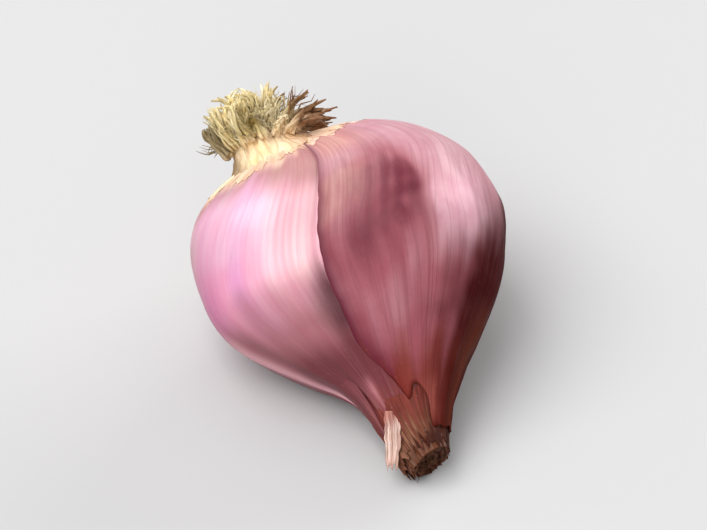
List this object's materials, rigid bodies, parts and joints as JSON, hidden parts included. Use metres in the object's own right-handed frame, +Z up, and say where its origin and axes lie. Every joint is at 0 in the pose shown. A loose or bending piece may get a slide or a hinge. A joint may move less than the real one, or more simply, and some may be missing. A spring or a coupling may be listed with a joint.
{
  "type": "small red onion",
  "caption": "Small red onion of the shallot kind, lying on its side: joined lobes, a dry cut neck and a tuft of trimmed roots.",
  "frame": {"origin": "middle of the footprint box, on the surface that the onion rests on", "axes": "+Y from the tip of the neck towards the roots, +Z up, and the smaller lobe on the -X side"},
  "size_m": [0.0372, 0.0482, 0.0298],
  "materials": {
    "onion_skin": "satin",
    "dry_roots": "matte",
    "dry_skin": "matte"
  },
  "bodies": {
    "root": {"bulb": "onion_skin", "root_tuft": "dry_roots", "neck_strip": "dry_skin"}
  },
  "joints": []
}
